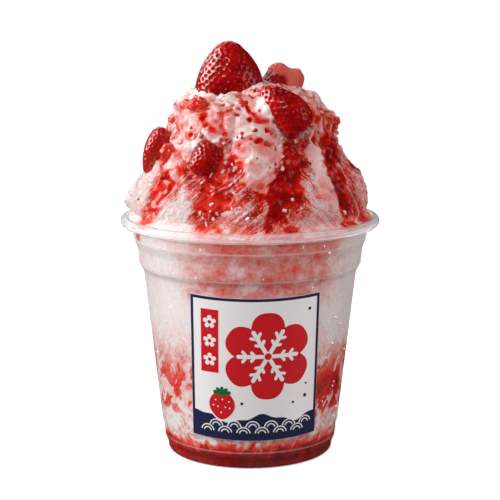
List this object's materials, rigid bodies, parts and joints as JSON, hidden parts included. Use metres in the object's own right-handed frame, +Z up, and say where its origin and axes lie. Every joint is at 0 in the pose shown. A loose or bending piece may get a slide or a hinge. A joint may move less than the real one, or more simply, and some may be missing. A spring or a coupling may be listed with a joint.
{
  "type": "shaved ice cup",
  "caption": "Strawberry shaved ice heaped in a clear plastic cup with a printed label, topped with syrup, condensed milk and strawberries.",
  "frame": {"origin": "centre of the cup's foot, on the table", "axes": "+Z up, label facing -Y, +X to the right of someone who looks at the label"},
  "size_m": [0.098, 0.098, 0.1563],
  "materials": {
    "clear_plastic": "clear, glossy",
    "printed_film": "satin print",
    "syrup": "wet, glossy",
    "pale_ice": "frosted",
    "soaked_ice": "wet, frosted",
    "mound_ice": "frosted, wet where syrup and milk lie",
    "strawberry": "glossy"
  },
  "bodies": {
    "root": {"cup": "clear_plastic", "label": "printed_film", "syrup_pool": "syrup", "ice_pale_layer": "pale_ice", "ice_soaked_layer": "soaked_ice", "ice_mound": "mound_ice", "strawberry_top": "strawberry", "strawberry_front_right": "strawberry", "strawberry_back": "strawberry", "strawberry_front_left": "strawberry", "strawberry_left": "strawberry", "strawberry_chunk_upper": "strawberry", "strawberry_chunk_left": "strawberry"}
  },
  "joints": []
}
